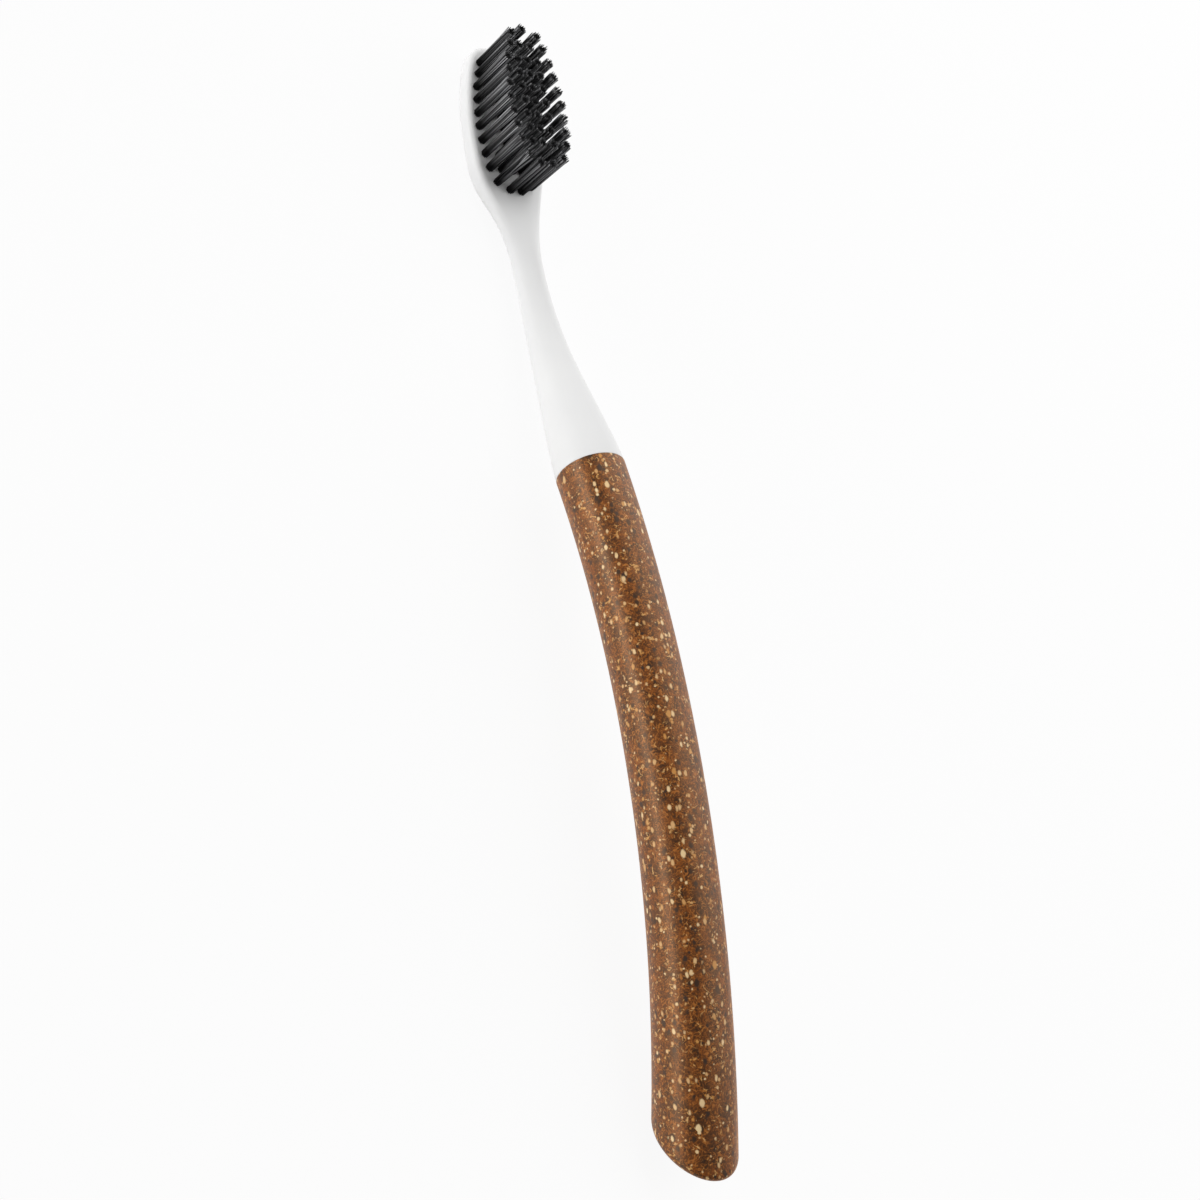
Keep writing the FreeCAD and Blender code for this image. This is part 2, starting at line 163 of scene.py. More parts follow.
def new_piece(name, points, faces, material, body, slot, nodes, values=None):
    """Puts points (in millimetres) and faces into a smooth mesh object that stands for CAD nodes.

    Values holds arrays with one number per point, which the material reads by their names.
    """
    mesh = bpy.data.meshes.new(name)
    mesh.from_pydata(points * MM, [], faces)
    mesh.polygons.foreach_set("use_smooth", np.ones(len(mesh.polygons), bool))
    for key, numbers in (values or {}).items():
        mesh.attributes.new(key, "FLOAT", "POINT").data.foreach_set("value", numbers)
    mesh.materials.append(material)
    mesh.update()
    piece = add_object(name, mesh)
    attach(piece, body)
    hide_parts(*nodes)


def ring_quads(rows, columns):
    """Quads of a grid of points, row after row, whose columns close on themselves."""
    across = np.arange(columns)
    after = (across + 1) % columns
    start = np.arange(rows - 1)[:, None] * columns
    above = start + columns
    return np.stack([start + across, start + after, above + after, above + across], -1).reshape(-1, 4)


def closed_loft(loops):
    """Points and faces of a closed skin over a stack of loops, with a fan over each end.

    The fans meet at the middles of the end loops, which are the last two points.
    """
    rows, columns = loops.shape[:2]
    points = np.concatenate([loops.reshape(-1, 3), [loops[0].mean(0), loops[-1].mean(0)]])
    across = np.arange(columns)
    after = (across + 1) % columns
    first = np.full(columns, rows * columns)
    end = (rows - 1) * columns
    near_fan = np.stack([first, after, across], -1)
    far_fan = np.stack([first + 1, end + across, end + after], -1)
    return points, ring_quads(rows, columns).tolist() + near_fan.tolist() + far_fan.tolist()


def rounded_rectangle(angles, half_width, half_height, corner):
    """Points of a rounded rectangle in the directions of given angles.

    Along each direction the outline is met by the flat sides, or by the corner's arc where the
    direction passes between them: the root of |t d - c| = r.
    """
    direction = unit_ring(angles)
    size = np.abs(direction)
    flat = (np.array([half_width, half_height]) / np.maximum(size, TINY)).min(-1)
    centre = np.array([half_width - corner, half_height - corner])
    along = size @ centre
    root = np.sqrt(np.maximum(along**2 - centre @ centre + corner**2, 0))
    in_corner = (size * flat[:, None] > centre).all(-1)
    return direction * np.where(in_corner, along + root, flat)[:, None]


def square_loop(outline, along):
    """Loop square to the seam's axis, at a place along it."""
    return np.column_stack([np.full(len(outline), along), outline])


def seam_frame(points):
    """Turns and moves points from the frame of the seam, its axis along x, to the frame of the part."""
    c, s = math.cos(SEAM_TILT), math.sin(SEAM_TILT)
    turn = np.array([[c, 0, -s], [0, 1, 0], [s, 0, c]])
    return points @ turn + SEAM_CENTRE


def rod_loop(ring, share, radius, slant_share, inset, setback):
    """Ring round the handle's axis at a share of its length, sheared toward the slanted cut.

    The axis is a circle arc that bows down. A point at the height h above it moves out along it by
    h tan(slant), and the whole loop back by the setback. The inset draws the loop in, to round the rim.
    """
    turn = share * (HANDLE_LENGTH / HANDLE_BOW)
    axis = np.array([-HANDLE_BOW * math.sin(turn), 0, -HANDLE_BOW * (1 - math.cos(turn))])
    out = np.array([-math.cos(turn), 0, -math.sin(turn)])
    up = np.array([-math.sin(turn), 0, math.cos(turn)])
    high = ring[:, 1] * (radius - inset * math.cos(END_SLANT))
    shear = high * math.tan(END_SLANT) * slant_share - setback
    spots = axis + shear[:, None] * out + high[:, None] * up
    spots[:, 1] += ring[:, 0] * (radius - inset)
    return spots


def handle_loops(columns=128):
    """Handle: circles carried along an arc, closed by a slanted face and by the socket.

    From the socket's floor the loops come up its wall, over its bevelled mouth and round the seam's rim.
    The rod's radius then falls as (1 - s/w)^2 to the waist at s = w and grows as
    ((s - w)/(1 - w))^2 to the end, where the rim turns in along a quarter circle to a flat face.
    """
    angles = np.linspace(0, 2 * math.pi, columns, endpoint=False)
    ring = unit_ring(angles)
    socket = rounded_rectangle(angles, *SOCKET)

    loops = [square_loop(socket * share, -SOCKET_LENGTH) for share in (0.02, 0.5, 0.96)]
    loops += [square_loop(socket, along) for along in np.linspace(0.1 - SOCKET_LENGTH, -MOUTH_BEVEL, 12)]
    for grow in (0.1, 0.3, MOUTH_BEVEL):
        mouth = rounded_rectangle(angles, *(SOCKET + grow))
        loops.append(square_loop(mouth, grow - MOUTH_BEVEL))
    rim = ring * (SEAM_RADIUS - RIM_ROUND)
    for share in (0.5, 0.97):
        loops.append(square_loop(mouth * (1 - share) + rim * share, 0.0))
    for step in np.radians([0, 22.5, 45, 67.5, 90]):
        radius = SEAM_RADIUS - RIM_ROUND * (1 - math.sin(step))
        loops.append(square_loop(ring * radius, -RIM_ROUND * (1 - math.cos(step))))

    before_slant = np.linspace(0.004, SLANT_START_SHARE, 84)
    through_slant = np.linspace(SLANT_START_SHARE + 0.01, 1.0, 40)
    for share in np.concatenate([before_slant, through_slant]):
        to_seam = max(1 - share / WAIST_SHARE, 0) ** 2
        to_end = max((share - WAIST_SHARE) / (1 - WAIST_SHARE), 0) ** 2
        radius = HANDLE_WAIST_RADIUS + (SEAM_RADIUS - HANDLE_WAIST_RADIUS) * to_seam
        radius += (HANDLE_END_RADIUS - HANDLE_WAIST_RADIUS) * to_end
        slant_share = float(eased((share - SLANT_START_SHARE) / (1 - SLANT_START_SHARE)))
        loops.append(rod_loop(ring, share, radius, slant_share, 0.0, END_SETBACK * slant_share))
    for step in np.radians(np.linspace(9, 90, 10)):
        inset = END_ROUND * (1 - math.cos(step))
        loops.append(rod_loop(ring, 1.0, HANDLE_END_RADIUS, 1.0, inset, END_SETBACK * (1 - math.sin(step))))
    face = loops[-1]
    loops += [face.mean(0) + (face - face.mean(0)) * share for share in (0.97, 0.6, 0.2)]
    return seam_frame(np.array(loops))


def plate_width(along):
    """Half width of the plate seen from above: the sides, then the flank arcs, then the tip's arc."""
    x = np.maximum(along - HEAD_STATION, 0)
    on_flank = HEAD_HALF_WIDTH - FLANK_RADIUS + np.sqrt(np.maximum(FLANK_RADIUS**2 - x**2, 0))
    on_tip = np.sqrt(np.maximum(NOSE_RADIUS**2 - np.maximum(x - TIP_REACH, 0) ** 2, 0))
    return np.where(x < TIP_ARC_START, on_flank, on_tip)


def rim_distance(along, across):
    """Distance in from the plate's outline: to the flank's arc, or past its end to the tip's arc."""
    x = np.maximum(along - HEAD_STATION, 0)[:, None]
    to_flank = FLANK_RADIUS - np.hypot(x, np.abs(across) + FLANK_RADIUS - HEAD_HALF_WIDTH)
    to_tip = NOSE_RADIUS - np.hypot(np.maximum(x - TIP_REACH, 0), across)
    near_tip = np.minimum(to_flank + TINY, to_tip)
    return np.maximum(np.where(x < TIP_ARC_START, to_flank, near_tip), 0)


def neck_axis(along):
    """Place along x, height and tilt of the head's axis, at stations counted from the seam.

    The axis runs straight on from the seam, turns level on an arc and goes on level. There a station
    comes to count straight along x, by a smooth step.
    """
    tilt = SEAM_TILT - np.clip((along - NECK_STRAIGHT) / NECK_BOW, 0, SEAM_TILT)
    before = np.minimum(along, NECK_STRAIGHT)
    after = np.maximum(along - NECK_STRAIGHT - NECK_BOW * SEAM_TILT, 0)
    x = before * math.cos(SEAM_TILT) + NECK_BOW * (math.sin(SEAM_TILT) - np.sin(tilt)) + after
    x = x + (along - x) * eased((along - LEVEL_STATION) / LEVEL_LENGTH)
    drop = before * math.sin(SEAM_TILT) + NECK_BOW * (np.cos(tilt) - math.cos(SEAM_TILT))
    return x, SEAM_CENTRE[2] - drop, tilt


def plate_section(along, x, wide):
    """Half sections of the plate, from the middle of its face round the edge to the middle of its back.

    Places across are w sin(t). Face and back are flat, and near the edge fall away as
    r - sqrt(r^2 - (r - d)^2) at the distance d in from the outline, with a straight wall between.
    """
    face_share = np.sin(np.linspace(0, math.pi / 2, FACE_COLUMNS))
    across = wide[:, None] * np.concatenate([face_share, np.ones(WALL_COLUMNS), face_share[::-1]])
    to_rim = np.where(along[:, None] < PLATE_START, wide[:, None] - across, rim_distance(x, across))
    half = HEAD_THICKNESS / 2
    fall = np.maximum(FACE_ROUND - to_rim, 0)
    rise = np.maximum(BACK_ROUND - to_rim, 0)
    face = half - FACE_ROUND + np.sqrt(np.maximum(FACE_ROUND**2 - fall**2, 0))
    back = BACK_ROUND - half - np.sqrt(np.maximum(BACK_ROUND**2 - rise**2, 0))
    wall = np.linspace(half - FACE_ROUND, BACK_ROUND - half, WALL_COLUMNS + 2)[1:-1]
    wall = np.broadcast_to(wall, (len(along), WALL_COLUMNS))
    return across, np.concatenate([face[:, :FACE_COLUMNS], wall, back[:, -FACE_COLUMNS:]], 1)


def head_loops():
    """Neck and plate: half loops from the top middle to the back middle, mirrored across.

    The neck's sections are ellipses square to its axis. Where the neck flares, each point goes from its
    ellipse to its plate section by a smooth step. Loops crowd toward the tip as 1 - sin(t).
    """
    neck = np.linspace(0.5, 44, 66)
    flare_and_sides = np.linspace(44.5, HEAD_STATION - 0.3, 44)
    nose = HEAD_STATION + NOSE_LENGTH * np.sin(np.linspace(0, math.pi / 2 - 0.02, 64))
    along = np.concatenate([[0.03, 0.1], neck, flare_and_sides, nose])
    x, axis_height, tilt = neck_axis(along)

    taper = np.clip(along / NECK_TAPER, 0, 1)
    flare = np.maximum(along - NECK_TAPER, 0)
    wide = NECK_HALF_WIDTH + (SEAM_RADIUS - NECK_HALF_WIDTH) * (1 - eased(taper**NECK_WIDTH_POWER))
    high = NECK_HALF_HEIGHT + (SEAM_RADIUS - NECK_HALF_HEIGHT) * (1 - eased(taper**NECK_HEIGHT_POWER))
    plate = plate_width(x)
    wide = wide + (plate - wide) * eased((flare / FLARE_WIDTH_LENGTH) ** FLARE_WIDTH_POWER)
    wide = np.where(along < PLATE_START, wide, plate)
    high = high + (HEAD_THICKNESS / 2 - high) * eased(flare / FLARE_HEIGHT_LENGTH)
    middle = axis_height - NECK_LIFT * eased((flare / FLARE_LIFT_LENGTH) ** FLARE_LIFT_POWER)
    flat = eased((flare - FLAT_START) / FLAT_LENGTH)[:, None]

    turn = np.linspace(0, math.pi, 2 * FACE_COLUMNS + WALL_COLUMNS)
    oval_y = wide[:, None] * np.sin(turn)
    oval_z = high[:, None] * np.cos(turn)
    plate_y, plate_z = plate_section(along, x, wide)
    y = oval_y + (plate_y - oval_y) * flat
    rise = oval_z + (plate_z - oval_z) * flat
    lean, stand = np.sin(tilt)[:, None], np.cos(tilt)[:, None]
    half = np.stack([x[:, None] + rise * lean, y, middle[:, None] + rise * stand], -1)
    other = half[:, -2:0:-1] * np.array([1, -1, 1])
    return np.concatenate([half, other], 1) + np.array([SEAM_CENTRE[0], 0, 0])


def plug_loops(angles):
    """Plug: a rounded rectangle drawn out from the seam into the handle, its nose bevelled.

    The flat shoulder runs out from the plug's root to the neck's round end.
    """
    ring = unit_ring(angles)
    stem = rounded_rectangle(angles, *PLUG)
    nose = rounded_rectangle(angles, *(PLUG - PLUG_BEVEL))
    loops = [square_loop(nose * share, -PLUG_LENGTH) for share in (0.2, 1.0)]
    loops += [square_loop(stem, along) for along in np.linspace(PLUG_BEVEL - PLUG_LENGTH, 0.0, 14)]
    for share in (0.05, 0.5, 0.96):
        loops.append(square_loop(stem * (1 - share) + ring * SHOULDER_RADIUS * share, 0.0))
    loops.append(square_loop(ring * NECK_END_RADIUS, NECK_END_STEP))
    return seam_frame(np.array(loops))


def filament_rods(seed, centre, base_height, tip_height, splay):
    """One tuft: round-ended rods packed as a sunflower's seeds, fanned a little toward the tips.

    Rod k of n starts at the radius R sqrt((k + 1/2)/n) and the golden angle times k, leans out to the
    tip's radius as t^1.6, bows as 4 t (1 - t) by a small seeded amount, and its end draws in to a dome.
    Rods nearer the tuft's middle are a little shorter, and painted darker as shade of the tuft's core.
    Returns points, faces, and for each point its place along its rod and its rod's own tone with that shade.
    """
    random = np.random.default_rng(seed)
    number = np.arange(FILAMENTS)
    reach = np.sqrt((number + 0.5) / FILAMENTS)
    angle = GOLDEN_ANGLE * number + random.uniform(0, 2 * math.pi)
    spoke = np.stack([np.cos(angle), np.sin(angle)], -1)
    foot = spoke * (reach * (TUFT_BASE_RADIUS - FILAMENT_RADIUS))[:, None]
    spread = reach * (TUFT_TIP_RADIUS - FILAMENT_RADIUS) * random.normal(1, TIP_SPREAD, FILAMENTS)
    tip = spoke * spread[:, None] + random.normal(0, splay, (FILAMENTS, 2))
    bow = random.normal(0, FILAMENT_BOW, (FILAMENTS, 2)) * max(1, splay / EDGE_SPLAY)
    trim = random.normal(-TRIM_SPREAD, TRIM_SPREAD, FILAMENTS) - MIDDLE_TRIM * (1 - reach**2)
    # painted shade: each rod's own random tone is darkened toward the tuft's middle, where the outer rods
    # shade the core
    tone = random.uniform(0.4, 1, FILAMENTS) * (0.25 + 0.75 * reach**3)

    t = np.array([0.0, 0.35, 0.7, 0.975, 0.992, 1.0])
    girth = np.array([1.0, 1.0, 1.0, 0.98, 0.82, 0.45])
    lean = t[:, None] ** LEAN_POWER
    path = foot[:, None] * (1 - lean) + tip[:, None] * lean + bow[:, None] * (4 * t * (1 - t))[:, None]
    rise = base_height + (tip_height - base_height + trim)[:, None] * t
    around = np.linspace(0, 2 * math.pi, FILAMENT_SIDES, endpoint=False)
    ring = np.stack([np.cos(around), np.sin(around)], -1) * FILAMENT_RADIUS
    rods = np.empty((FILAMENTS, len(t), FILAMENT_SIDES, 3))
    rods[..., :2] = centre + path[:, :, None] + girth[:, None, None] * ring
    rods[..., 2] = rise[:, :, None]
    tips = np.concatenate([centre + path[:, -1], rise[:, -1:] + FILAMENT_DOME], -1)
    points = np.concatenate([rods.reshape(-1, 3), tips])

    per_rod = len(t) * FILAMENT_SIDES
    first = number[:, None] * per_rod
    last_ring = first + per_rod - FILAMENT_SIDES
    across = np.arange(FILAMENT_SIDES)
    point = np.broadcast_to(FILAMENTS * per_rod + number[:, None], (FILAMENTS, FILAMENT_SIDES))
    walls = ring_quads(len(t), FILAMENT_SIDES) + first[:, :, None]
    domes = np.stack([last_ring + across, last_ring + (across + 1) % FILAMENT_SIDES, point], -1)
    feet = first + across[::-1]
    faces = walls.reshape(-1, 4).tolist() + domes.reshape(-1, 3).tolist() + feet.tolist()
    place = np.concatenate([np.tile(np.repeat(t, FILAMENT_SIDES), FILAMENTS), np.ones(FILAMENTS)])
    tones_and_core_shade = np.concatenate([np.repeat(tone, per_rod), tone])
    return points, faces, {"strand_place": place, "strand_tone_and_core_shade": tones_and_core_shade}


def linear(hex_colour):
    """Linear colour of an sRGB hex value."""
    values = [int(hex_colour[i:i + 2], 16) / 255 for i in (1, 3, 5)]
    return tuple([v / 12.92 if v <= 0.04045 else ((v + 0.055) / 1.055) ** 2.4 for v in values] + [1.0])


def cell_scale(size_mm):
    """Texture scale of a pattern whose cells are about a size in millimetres."""
    return 1 / (size_mm * MM)


def set_node(node, settings):
    """Sets a shader node up and returns it.

    Each key is a property of the node, or one of its inputs by name or number. Each value is a constant,
    or another node's output, which is linked.
    """
    for key, value in settings.items():
        if isinstance(key, str) and hasattr(node, key):
            setattr(node, key, value)
        elif isinstance(value, bpy.types.NodeSocket):
            node.id_data.links.new(value, node.inputs[key])
        else:
            node.inputs[key].default_value = value
    return node


def add_node(tree, kind, settings):
    """Adds a shader node with its settings and links."""
    return set_node(tree.nodes.new(kind), settings)


def new_material(name):
    """New node material, with its node tree and its Principled shader."""
    material = bpy.data.materials.new(name)
    material.use_nodes = True
    tree = material.node_tree
    return material, tree, tree.nodes["Principled BSDF"]


def chip_mask(tree, place, size_mm, reach, edge, empty, stretch, turn):
    """Share of chips at a place, and each chip's own random value.

    Cells of the given size hold one chip each. A chip shows within its reach of the cell's point, fading
    over its edge, and only where the cell's random value is above empty. Stretch and turn lay the chips
    one way.
    """
    laid = add_node(tree, "ShaderNodeMapping", {"Vector": place, "Rotation": turn, "Scale": stretch})
    cells = add_node(tree, "ShaderNodeTexVoronoi", {"Vector": laid.outputs[0], "Scale": cell_scale(size_mm)})
    own = add_node(tree, "ShaderNodeSeparateColor", {"Color": cells.outputs["Color"]})
    fade = {"Value": cells.outputs["Distance"], "From Min": reach + edge, "From Max": reach - edge}
    near = add_node(tree, "ShaderNodeMapRange", fade)
    shown = add_node(tree, "ShaderNodeMath", {"operation": "GREATER_THAN", 0: own.outputs[0], 1: empty})
    both = {"operation": "MULTIPLY", 0: near.outputs[0], 1: shown.outputs[0]}
    return add_node(tree, "ShaderNodeMath", both).outputs[0], own.outputs[1]


def fibre_mask(tree, place, size_mm, turn, place_mm, half_line, shown):
    """Share of curled fibres at a place.

    A fibre is a thin line where a noise passes its middle value, |n - 1/2| under the half line, and a
    second noise breaks it up: only what lies above shown is left.
    """
    moved = {"Vector": place, "Location": (place_mm * MM,) * 3, "Rotation": turn}
    laid = add_node(tree, "ShaderNodeMapping", moved).outputs[0]
    curls = {"Vector": laid, "Scale": cell_scale(size_mm), "Detail": 0.0, "Distortion": 1.2}
    field = add_node(tree, "ShaderNodeTexNoise", curls)
    off = add_node(tree, "ShaderNodeMath", {"operation": "SUBTRACT", 0: field.outputs[0], 1: 0.5})
    size = add_node(tree, "ShaderNodeMath", {"operation": "ABSOLUTE", 0: off.outputs[0]})
    thin = {"Value": size.outputs[0], "From Min": half_line, "From Max": half_line / 4}
    line = add_node(tree, "ShaderNodeMapRange", thin)
    gaps = add_node(tree, "ShaderNodeTexNoise", {"Vector": laid, "Scale": cell_scale(0.9), "Detail": 0.0})
    left = {"Value": gaps.outputs[0], "From Min": shown, "From Max": shown + 0.08, "To Max": 0.85}
    part = add_node(tree, "ShaderNodeMapRange", left)
    both = {"operation": "MULTIPLY", 0: line.outputs[0], 1: part.outputs[0]}
    return add_node(tree, "ShaderNodeMath", both).outputs[0]


def wood_fibre_composite():
    """Moulded wood-fibre biocomposite, for the handle."""
    # It gives the eye a mottled brown binder full of pale and dark chips and curled fibres, under a satin
    # moulded skin with a warm bloom at its edges. Chips are 0.2 to 1.2 mm. The finest grain is drawn at
    # 0.26 mm, coarser than real ground fibre, so that it shows.
    material, tree, shader = new_material("moulded_wood_fibre_composite")
    place = add_node(tree, "ShaderNodeTexCoord", {}).outputs["Object"]

    # places strayed by a fine noise, far for the binder and its fibres and less for the chips
    wobble = add_node(tree, "ShaderNodeTexNoise", {"Vector": place, "Scale": cell_scale(0.6), "Detail": 2.0})
    centred = {"operation": "SUBTRACT", 0: wobble.outputs["Color"], 1: (0.5, 0.5, 0.5)}
    shift = add_node(tree, "ShaderNodeVectorMath", centred).outputs[0]
    strayed = []
    for stray_mm in (0.55, 0.30):
        scaled = {"operation": "SCALE", 0: shift, "Scale": stray_mm * MM}
        step = add_node(tree, "ShaderNodeVectorMath", scaled)
        moved = add_node(tree, "ShaderNodeVectorMath", {"operation": "ADD", 0: place, 1: step.outputs[0]})
        strayed.append(moved.outputs[0])
    binder_place, chip_place = strayed

    # binder: two browns clouded together
    clouds = {"Vector": binder_place, "Scale": cell_scale(1.5), "Detail": 4.0, "Roughness": 0.62}
    cloud = add_node(tree, "ShaderNodeTexNoise", clouds).outputs[0]
    tone = add_node(tree, "ShaderNodeMapRange", {"Value": cloud, "From Min": 0.36, "From Max": 0.64})
    browns = {"data_type": "RGBA", 0: tone.outputs[0], 6: linear("#260e03"), 7: linear("#763c0c")}
    colour = add_node(tree, "ShaderNodeMix", browns).outputs[2]

    # layers over the binder, in order: the share that each one covers, and its colour
    grains = {"Vector": binder_place, "Scale": cell_scale(0.26), "Detail": 2.0}
    grain = add_node(tree, "ShaderNodeTexNoise", grains).outputs[0]
    speck = add_node(tree, "ShaderNodeMapRange", {"Value": grain, "From Min": 0.52, "From Max": 0.72})
    pit = add_node(tree, "ShaderNodeMapRange", {"Value": grain, "From Min": 0.46, "From Max": 0.30})
    smokes = {"Vector": binder_place, "Scale": cell_scale(4.5), "Detail": 2.0}
    smoke = add_node(tree, "ShaderNodeTexNoise", smokes).outputs[0]
    smoky = {"Value": smoke, "From Min": 0.5, "From Max": 0.7, "To Max": 0.6}
    patch = add_node(tree, "ShaderNodeMapRange", smoky)
    layers = [
        (speck.outputs[0], linear("#a05a18")),
        (pit.outputs[0], linear("#260f04")),
        (patch.outputs[0], linear("#2a1408")),
    ]

    # fibres: cell in mm, turn, where in the noise in mm, half width as a share, what is left, colour
    fibres = (
        (1.2, (0.3, 0.2, 0.9), 0.0, 0.045, 0.48, "#a86428"),
        (0.9, (1.1, 0.5, 0.2), 31.0, 0.045, 0.50, "#b26e2c"),
        (1.7, (2.0, 0.4, 1.2), 57.0, 0.045, 0.63, "#dca560"),
        (1.4, (0.7, 1.4, 2.2), 83.0, 0.050, 0.65, "#e2b272"),
    )
    for *fibre, hue in fibres:
        layers.append((fibre_mask(tree, binder_place, *fibre), linear(hue)))

    # chips: cell in mm, reach and soft edge in shares of the cell, share of empty cells, stretch, turn
    dark_chips = (
        (1.5, 0.23, 0.07, 0.48, (0.8, 1.0, 1.0), (0.4, 0.9, 0.2)),
        (2.1, 0.19, 0.04, 0.58, (0.6, 1.0, 1.0), (1.2, 0.3, 0.8)),
        (1.1, 0.20, 0.04, 0.66, (0.8, 1.0, 1.0), (0.7, 0.6, 1.5)),
    )
    pale_chips = (
        (0.62, 0.24, 0.10, 0.78, (1.0, 1.0, 1.0), (0.5, 0.1, 0.7)),
        (1.10, 0.20, 0.06, 0.64, (0.8, 1.0, 1.0), (0.2, 0.4, 0.3)),
        (1.30, 0.19, 0.05, 0.62, (0.55, 1.0, 1.0), (1.0, 0.2, 1.1)),
        (1.40, 0.18, 0.05, 0.62, (0.60, 1.0, 1.0), (0.3, 1.2, 2.0)),
        (2.40, 0.16, 0.03, 0.66, (0.60, 1.0, 1.0), (0.1, 0.2, 0.15)),
    )
    for chips, first, second in ((dark_chips, "#24120a", "#1c191d"), (pale_chips, "#c2843c", "#f2d6a4")):
        for chip in chips:
            mask, own = chip_mask(tree, chip_place, *chip)
            hues = {"data_type": "RGBA", 0: own, 6: linear(first), 7: linear(second)}
            layers.append((mask, add_node(tree, "ShaderNodeMix", hues).outputs[2]))

    for share, hue in layers:
        over = {"data_type": "RGBA", 0: share, 6: colour, 7: hue}
        colour = add_node(tree, "ShaderNodeMix", over).outputs[2]

    gloss = add_node(tree, "ShaderNodeMapRange", {"Value": cloud, "To Min": 0.39, "To Max": 0.49})
    skin = add_node(tree, "ShaderNodeBump", {"Height": grain, "Strength": 0.12, "Distance": 0.02 * MM})
    finish = {
        "Base Color": colour,
        "Roughness": gloss.outputs[0],
        "Normal": skin.outputs[0],
        "IOR": 1.5,
        "Specular IOR Level": 1.0,
        "Specular Tint": linear("#ffd0a8"),
        "Sheen Weight": 0.6,
        "Sheen Roughness": 0.35,
        "Sheen Tint": linear("#ffb070"),
    }
    set_node(shader, finish)
    return material


def white_plastic():
    """Injection-moulded white plastic, for the head, neck and plug."""
    # It gives the eye an even, near-matt white with soft highlights and a trace of the mould's grit, which
    # is drawn at 0.25 mm, coarser than real, so that it shows.
    material, tree, shader = new_material("moulded_white_plastic")
    place = add_node(tree, "ShaderNodeTexCoord", {}).outputs["Object"]
    cloud = add_node(tree, "ShaderNodeTexNoise", {"Vector": place, "Scale": cell_scale(9), "Detail": 2.0})
    whites = {"data_type": "RGBA", 0: cloud.outputs[0], 6: linear("#e6e6e6"), 7: linear("#ececeb")}
    grits = {"Vector": place, "Scale": cell_scale(0.25), "Detail": 2.0}
    grit = add_node(tree, "ShaderNodeTexNoise", grits).outputs[0]
    gloss = add_node(tree, "ShaderNodeMapRange", {"Value": grit, "To Min": 0.42, "To Max": 0.52})
    skin = add_node(tree, "ShaderNodeBump", {"Height": grit, "Strength": 0.05, "Distance": 0.01 * MM})
    finish = {
        "Base Color": add_node(tree, "ShaderNodeMix", whites).outputs[2],
        "Roughness": gloss.outputs[0],
        "Normal": skin.outputs[0],
        "IOR": 1.49,
        "Specular IOR Level": 0.12,
    }
    set_node(shader, finish)
    return material


def black_nylon():
    """Drawn nylon monofilament dyed charcoal, for the tufts' strands."""
    # It gives the eye dark strands, each of its own tone. Painted shade takes them from black at the foot to
    # grey near the tip and darkens the strands in each tuft's core; the ground ends keep the strand's tone.
    material, tree, shader = new_material("charcoal_nylon_monofilament")
    # the strand_tone_and_core_shade attribute is each rod's own tone times the painted shade of the tuft's
    # core
    own = add_node(tree, "ShaderNodeAttribute", {"attribute_name": "strand_tone_and_core_shade"}).outputs["Fac"]
    along = add_node(tree, "ShaderNodeAttribute", {"attribute_name": "strand_place"}).outputs["Fac"]
    # painted shade: strands go from black at the foot to grey near the tip, darkest where the neighbouring
    # strands crowd round them
    painted_foot_shade = add_node(tree, "ShaderNodeMapRange", {"Value": along, "From Min": 0.18, "From Max": 0.88})
    pale = add_node(tree, "ShaderNodeMath", {"operation": "POWER", 0: own, 1: 2.0}).outputs[0]
    tone = add_node(tree, "ShaderNodeMath", {"operation": "MULTIPLY", 0: pale, 1: painted_foot_shade.outputs[0]})
    greys = {"data_type": "RGBA", 0: tone.outputs[0], 6: linear("#030304"), 7: linear("#c6c6c8")}
    end_greys = {"data_type": "RGBA", 0: pale, 6: linear("#040405"), 7: linear("#cfcfd1")}
    near_end = {"Value": along, "From Min": 0.975, "From Max": 0.992, "To Max": 0.8}
    ground = {
        "data_type": "RGBA",
        0: add_node(tree, "ShaderNodeMapRange", near_end).outputs[0],
        6: add_node(tree, "ShaderNodeMix", greys).outputs[2],
        7: add_node(tree, "ShaderNodeMix", end_greys).outputs[2],
    }
    gloss = add_node(tree, "ShaderNodeMapRange", {"Value": own, "To Min": 0.5, "To Max": 0.28})
    finish = {
        "Base Color": add_node(tree, "ShaderNodeMix", ground).outputs[2],
        "Roughness": gloss.outputs[0],
        "IOR": 1.53,
        "Specular IOR Level": 0.1,
    }
    set_node(shader, finish)
    return material


def anchor_metal():
    """Rolled nickel-silver strip, for the anchors."""
    # It gives the eye a warm grey metal with rolling lines, drawn at 0.15 mm, coarser than real, so that
    # they show.
    material, tree, shader = new_material("rolled_nickel_silver")
    place = add_node(tree, "ShaderNodeTexCoord", {}).outputs["Object"]
    laid = add_node(tree, "ShaderNodeMapping", {"Vector": place, "Scale": (1.0, 1.0, 0.1)})
    lines = add_node(tree, "ShaderNodeTexNoise", {"Vector": laid.outputs[0], "Scale": cell_scale(0.15)})
    greys = {"data_type": "RGBA", 0: lines.outputs[0], 6: linear("#b9b2a2"), 7: linear("#d8d3c6")}
    colour = add_node(tree, "ShaderNodeMix", greys).outputs[2]
    set_node(shader, {"Base Color": colour, "Metallic": 1.0, "Roughness": 0.3})
    return material


def seam_angles(loop):
    """Angle of each point of a loop about the seam's axis, counted from straight up."""
    x, y, z = (loop - SEAM_CENTRE).T
    return np.arctan2(y, x * math.sin(SEAM_TILT) + z * math.cos(SEAM_TILT))


composite = wood_fibre_composite()
plastic = white_plastic()
nylon = black_nylon()

new_piece("composite_grip", *closed_loft(handle_loops()), composite, "handle", "handle_composite", ["handle"])

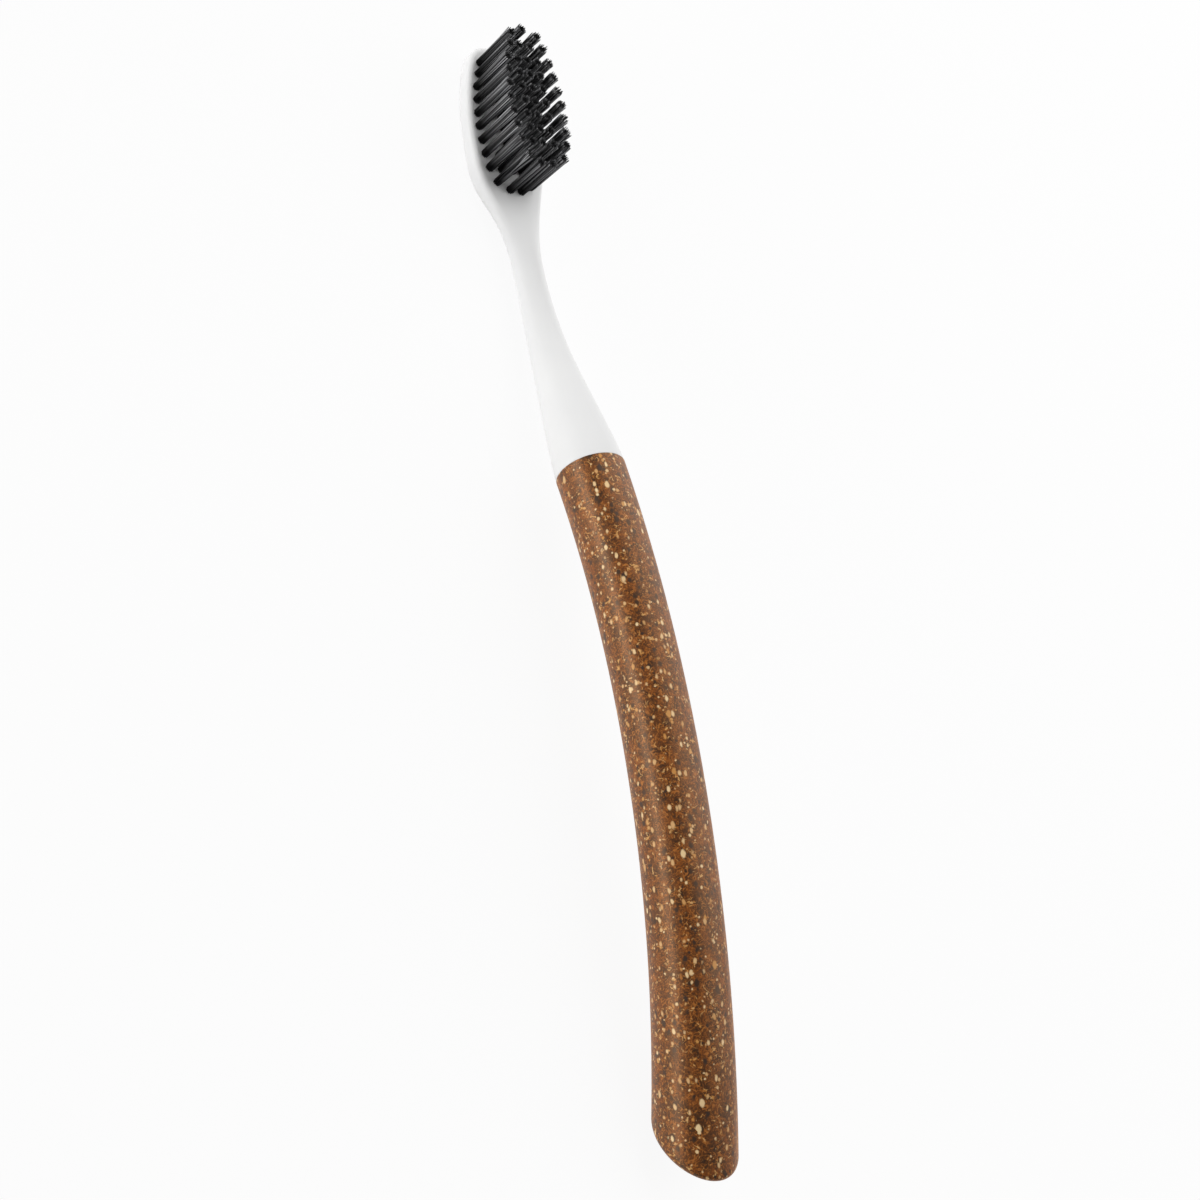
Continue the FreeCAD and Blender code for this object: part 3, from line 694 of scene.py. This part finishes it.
neck_and_plate = head_loops()
plug = plug_loops(seam_angles(neck_and_plate[0]))
head_skin = closed_loft(np.concatenate([plug, neck_and_plate]))
new_piece("white_head_and_neck", *head_skin, plastic, "head", "head_plastic", ["brush_head"])

tuft_nodes = sorted(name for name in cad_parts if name.startswith("tuft_row"))
for seed, node in enumerate(tuft_nodes):
    low, high = (np.array(corner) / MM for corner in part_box(node))
    centre = (low[:2] + high[:2]) / 2
    splay = WORN_TUFTS.get(node, EDGE_SPLAY if centre[1] < EDGE_COLUMN_Y else SPLAY)
    points, faces, values = filament_rods(seed, centre, HEAD_THICKNESS - TUFT_SINK, high[2], splay)
    name = node.replace("tuft", "bristles")
    new_piece(name, points, faces, nylon, "head", "bristle_nylon", [node], values)
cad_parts["tuft_anchors"].data.materials.clear()
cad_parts["tuft_anchors"].data.materials.append(anchor_metal())


def lay_floor():
    """Pale floor under the brush: white to the eye, with part of the brush's soft shadow kept on it.

    The share of plain white rises from the brush outward, so that the far floor is all white.
    """
    half_size = 4.0
    mesh = bpy.data.meshes.new("floor")
    corners = np.array([[-1, -1, 0], [1, -1, 0], [1, 1, 0], [-1, 1, 0]]) * half_size
    mesh.from_pydata(corners, [], [(0, 1, 2, 3)])
    floor = add_object("floor", mesh)
    material, tree, shader = new_material("pale_floor")
    set_node(shader, {"Base Color": linear("#f2f2f2"), "Roughness": 0.9})
    glow = add_node(tree, "ShaderNodeEmission", {"Color": (1, 1, 1, 1), "Strength": 1.0})
    path = add_node(tree, "ShaderNodeLightPath", {}).outputs
    either = {"operation": "MAXIMUM", 0: path["Is Camera Ray"], 1: path["Is Glossy Ray"]}
    seen = add_node(tree, "ShaderNodeMath", either)
    place = add_node(tree, "ShaderNodeTexCoord", {}).outputs["Object"]
    away = add_node(tree, "ShaderNodeVectorMath", {"operation": "LENGTH", 0: place}).outputs["Value"]
    rising = {"Value": away, "From Min": 0.25, "From Max": 0.7, "To Min": 0.92, "To Max": 1.0}
    white = add_node(tree, "ShaderNodeMapRange", rising)
    both = {"operation": "MULTIPLY", 0: seen.outputs[0], 1: white.outputs[0]}
    share = add_node(tree, "ShaderNodeMath", both)
    surfaces = {0: share.outputs[0], 1: shader.outputs[0], 2: glow.outputs[0]}
    blend = add_node(tree, "ShaderNodeMixShader", surfaces)
    set_node(tree.nodes["Material Output"], {"Surface": blend.outputs[0]})
    mesh.materials.append(material)


def add_softbox(name, place, size, power):
    """Rectangular area lamp turned to face the brush, sizes in metres and power in watts."""
    lamp = bpy.data.lights.new(name, "AREA")
    lamp.shape = "RECTANGLE"
    lamp.size, lamp.size_y = size
    lamp.energy = power
    softbox = add_object(name, lamp)
    aim = np.array([0.0, 0.0, 0.01])
    back = (place - aim) / np.linalg.norm(place - aim)
    right = np.cross((1.0, 0.0, 0.0), back)
    right /= np.linalg.norm(right)
    up = np.cross(back, right)
    turn = Matrix([[*row, 0] for row in np.stack([up, -right, back], 1)] + [[0, 0, 0, 1]])
    softbox.matrix_world = Matrix.Translation(place) @ turn


def light_studio():
    """A long low softbox beside the brush, a large one over it, and a dim room that the eye sees white."""
    add_softbox("side_softbox", place=np.array([0.2, 0.57, 0.065]), size=(1.2, 0.12), power=3.75)
    add_softbox("top_softbox", place=np.array([0.24, -0.37, 0.43]), size=(1.3, 1.1), power=6.6)
    world = bpy.data.worlds.new("room")
    bpy.context.scene.world = world
    world.use_nodes = True
    tree = world.node_tree
    path = add_node(tree, "ShaderNodeLightPath", {})
    level = {"Value": path.outputs["Is Camera Ray"], "To Min": 0.2, "To Max": 1.0}
    strength = add_node(tree, "ShaderNodeMapRange", level).outputs[0]
    set_node(tree.nodes["Background"], {"Color": (1, 1, 1, 1), "Strength": strength})


def set_camera():
    """Camera at the photograph's viewing angle, its axes given in the part's frame."""
    data = bpy.data.cameras.new("camera")
    data.sensor_width = SENSOR_WIDTH
    data.lens = LENS
    data.clip_start = 0.01
    data.clip_end = 50.0
    camera = add_object("camera", data)
    back = CAMERA_BACK / np.linalg.norm(CAMERA_BACK)
    up = CAMERA_UP - back * (CAMERA_UP @ back)
    up /= np.linalg.norm(up)
    axes = np.stack([np.cross(up, back), up, back], 1)
    place = CAMERA_PLACE * MM
    camera.matrix_world = Matrix([[*axes[row], place[row]] for row in range(3)] + [[0, 0, 0, 1]])
    bpy.context.scene.camera = camera


lay_floor()
light_studio()
set_camera()
bpy.context.scene.view_settings.view_transform = "Standard"
